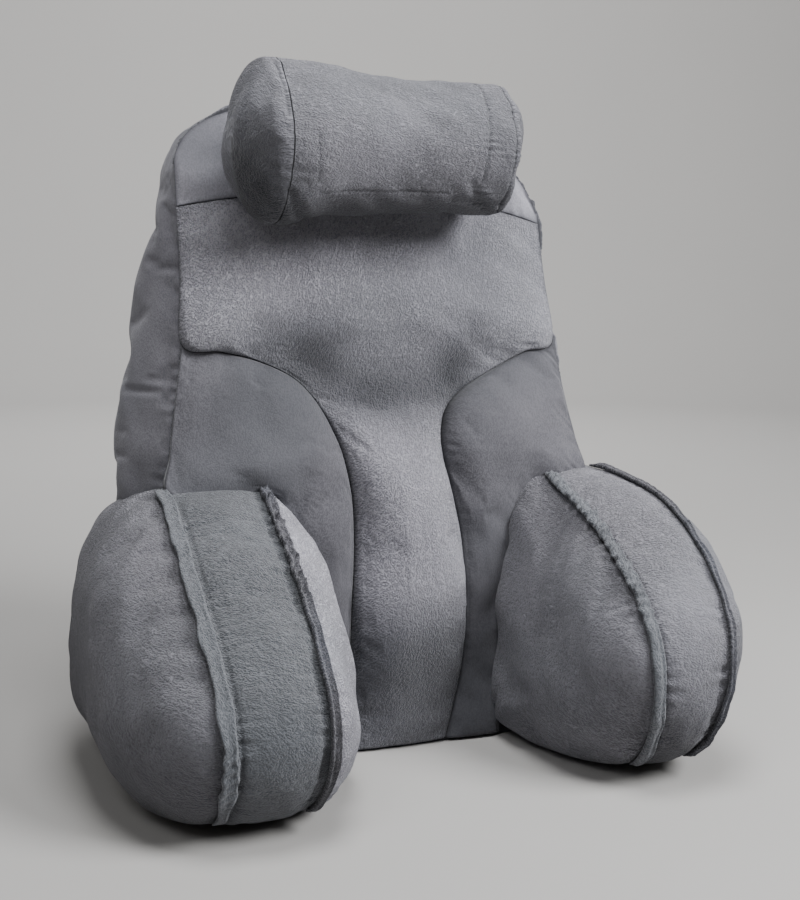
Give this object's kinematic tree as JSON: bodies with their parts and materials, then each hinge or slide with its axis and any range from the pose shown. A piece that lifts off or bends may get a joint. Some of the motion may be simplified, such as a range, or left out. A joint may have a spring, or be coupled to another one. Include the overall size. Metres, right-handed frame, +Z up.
{
  "type": "backrest cushion with arms and head roll",
  "caption": "Upright plush backrest cushion with a bulging lumbar column, padded side panels, round forward arms with folded seams, and a head roll across its top.",
  "frame": {"origin": "middle of the flat underside of the back, on the plane it stands on", "axes": "+X to the viewer's right as seen from the front, +Y to the rear of the back, +Z up; the arms reach forward along -Y"},
  "size_m": [0.653, 0.451, 0.7121],
  "materials": {
    "plush": "short-pile plush, purple-grey, matt with a soft sheen",
    "plush_gusset": "smoother short-pile plush, cooler grey, matt",
    "plush_fold": "folded plush seam strip, darker grey, matt"
  },
  "bodies": {
    "root": {"back_body": "plush_gusset", "rear_panel": "plush_gusset", "arm_gusset_left": "plush_gusset", "arm_gusset_right": "plush_gusset", "headrest_panel": "plush", "front_panel": "plush", "wing_panel_left": "plush", "wing_panel_right": "plush", "arm_inner_cheek_left": "plush", "arm_outer_cheek_left": "plush", "arm_inner_cheek_right": "plush", "arm_outer_cheek_right": "plush", "roll_cap_left": "plush", "roll_band_left": "plush", "roll_body": "plush", "roll_band_right": "plush", "roll_cap_right": "plush", "fold_inner_left": "plush_fold", "fold_outer_left": "plush_fold", "fold_inner_right": "plush_fold", "fold_outer_right": "plush_fold"}
  },
  "joints": []
}
